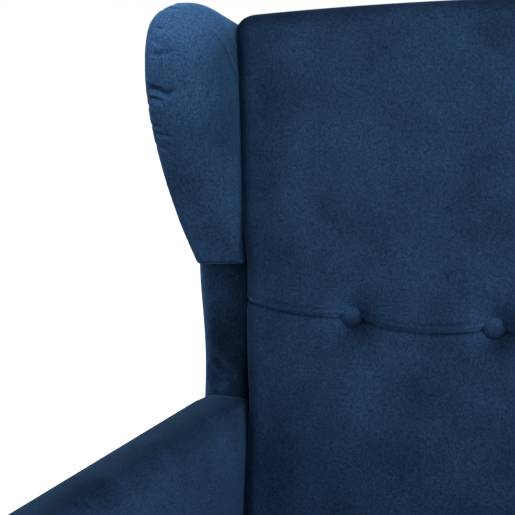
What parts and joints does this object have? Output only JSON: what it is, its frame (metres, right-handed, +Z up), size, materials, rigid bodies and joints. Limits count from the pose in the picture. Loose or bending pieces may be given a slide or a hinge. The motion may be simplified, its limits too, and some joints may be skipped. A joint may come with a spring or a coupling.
{
  "type": "recliner armchair",
  "caption": "Push-back reclining wing armchair in velvet with a buttoned back, a gliding seat and a footrest that unfolds from the front.",
  "frame": {"origin": "on the floor under the middle of the chair", "axes": "+Z up, -Y towards the front of the chair, +X to the right as seen from the front"},
  "size_m": [0.69, 0.7692, 1.0585],
  "materials": {
    "velvet": "deep blue short-pile velvet",
    "leg_wood": "dark stained beech, satin lacquer",
    "frame_wood": "planed softwood",
    "plywood": "raw plywood",
    "painted_steel": "black powder coat",
    "zinc_steel": "zinc plated steel",
    "lining": "black spunbond cloth",
    "webbing": "woven elastic webbing",
    "glide_plastic": "moulded glide"
  },
  "bodies": {
    "base": {"front_legs": "leg_wood", "rear_legs": "leg_wood", "leg_plates": "painted_steel", "leg_bolts": "zinc_steel", "leg_glides": "glide_plastic", "right_arm_pad": "velvet", "left_arm_pad": "velvet", "arm_boards": "plywood", "arm_sills": "frame_wood", "base_side_rails": "frame_wood", "front_cross_rail": "frame_wood", "rear_cross_rail": "frame_wood", "rear_base_panel": "velvet", "dust_cover": "lining", "base_plates": "painted_steel", "base_plate_screws": "zinc_steel", "base_pivot_pins": "zinc_steel", "back_pivot_bolts": "zinc_steel"},
    "front_swing": {"front_swing_links": "painted_steel"},
    "rear_swing": {"rear_swing_links": "painted_steel"},
    "seat": {"seat_plates": "painted_steel", "seat_pivot_pins": "zinc_steel", "seat_front_rail": "frame_wood", "seat_rear_rail": "frame_wood", "seat_side_rails": "frame_wood", "seat_plate_screws": "zinc_steel", "seat_springs": "zinc_steel", "spring_clips": "zinc_steel", "spring_cover": "lining", "seat_cushion": "velvet"},
    "drive_link": {"drive_links": "painted_steel", "cross_tube": "painted_steel", "drive_link_rivets": "zinc_steel"},
    "main_link": {"main_links": "painted_steel", "main_link_rivets": "zinc_steel"},
    "guide_link": {"guide_links": "painted_steel"},
    "upper_link": {"upper_links": "painted_steel"},
    "footrest": {"footrest_brackets": "painted_steel", "bracket_rivets": "zinc_steel", "footrest_board": "plywood", "footrest_screws": "zinc_steel", "footrest_cushion": "velvet"},
    "back": {"back_posts": "frame_wood", "back_lower_rail": "frame_wood", "back_middle_rail": "frame_wood", "back_top_rail": "frame_wood", "back_webbing": "webbing", "back_panel": "velvet", "back_top_padding": "velvet", "back_brackets": "painted_steel", "back_bracket_screws": "zinc_steel", "slot_pins": "zinc_steel", "back_cushion": "velvet", "back_buttons": "velvet", "right_wing": "velvet", "left_wing": "velvet", "right_bolster": "velvet", "left_bolster": "velvet", "wing_boards": "plywood", "wing_blocks": "frame_wood"}
  },
  "joints": [
    {"name": "back_recline", "type": "hinge", "parent": "base", "child": "back", "pos_m": [0, 0.24676, 0.325], "axis": [-1, 0, 0], "range_deg": [0, 32], "stiffness_Nm_per_rad": 45, "springref_deg": -20.05},
    {"name": "front_swing", "type": "hinge", "parent": "base", "child": "front_swing", "pos_m": [0, -0.21205, 0.2131], "axis": [1, 0, 0], "range_deg": [0, 32.01]},
    {"name": "rear_swing", "type": "hinge", "parent": "base", "child": "rear_swing", "pos_m": [0, 0.09795, 0.2131], "axis": [1, 0, 0], "range_deg": [0, 32.01]},
    {"name": "seat_glide", "type": "hinge", "parent": "front_swing", "child": "seat", "pos_m": [0, -0.19, 0.29], "axis": [-1, 0, 0], "range_deg": [0, 32.01]},
    {"name": "footrest_drive", "type": "hinge", "parent": "seat", "child": "drive_link", "pos_m": [0, -0.252, 0.306], "axis": [-1, 0, 0], "range_deg": [0, 74.81]},
    {"name": "main_link_turn", "type": "hinge", "parent": "drive_link", "child": "main_link", "pos_m": [0, -0.28069, 0.14351], "axis": [1, 0, 0], "range_deg": [0, 111.64]},
    {"name": "footrest_turn", "type": "hinge", "parent": "main_link", "child": "footrest", "pos_m": [0, -0.333, 0.3], "axis": [-1, 0, 0], "range_deg": [0, 128.83]},
    {"name": "guide_link_turn", "type": "hinge", "parent": "seat", "child": "guide_link", "pos_m": [0, -0.29035, 0.2695], "axis": [-1, 0, 0], "range_deg": [0, 83.52]},
    {"name": "upper_link_turn", "type": "hinge", "parent": "drive_link", "child": "upper_link", "pos_m": [0, -0.27146, 0.16702], "axis": [1, 0, 0], "range_deg": [0, 110.93]}
  ],
  "couplings": [
    {"joint": "front_swing", "follows": "back_recline", "ratio": 1},
    {"joint": "rear_swing", "follows": "back_recline", "ratio": 1},
    {"joint": "seat_glide", "follows": "back_recline", "ratio": 1},
    {"joint": "footrest_drive", "follows": "back_recline", "ratio": 2.3377},
    {"joint": "main_link_turn", "follows": "back_recline", "ratio": 3.4886},
    {"joint": "footrest_turn", "follows": "back_recline", "ratio": 4.0259},
    {"joint": "guide_link_turn", "follows": "back_recline", "ratio": 2.6098},
    {"joint": "upper_link_turn", "follows": "back_recline", "ratio": 3.4665}
  ]
}
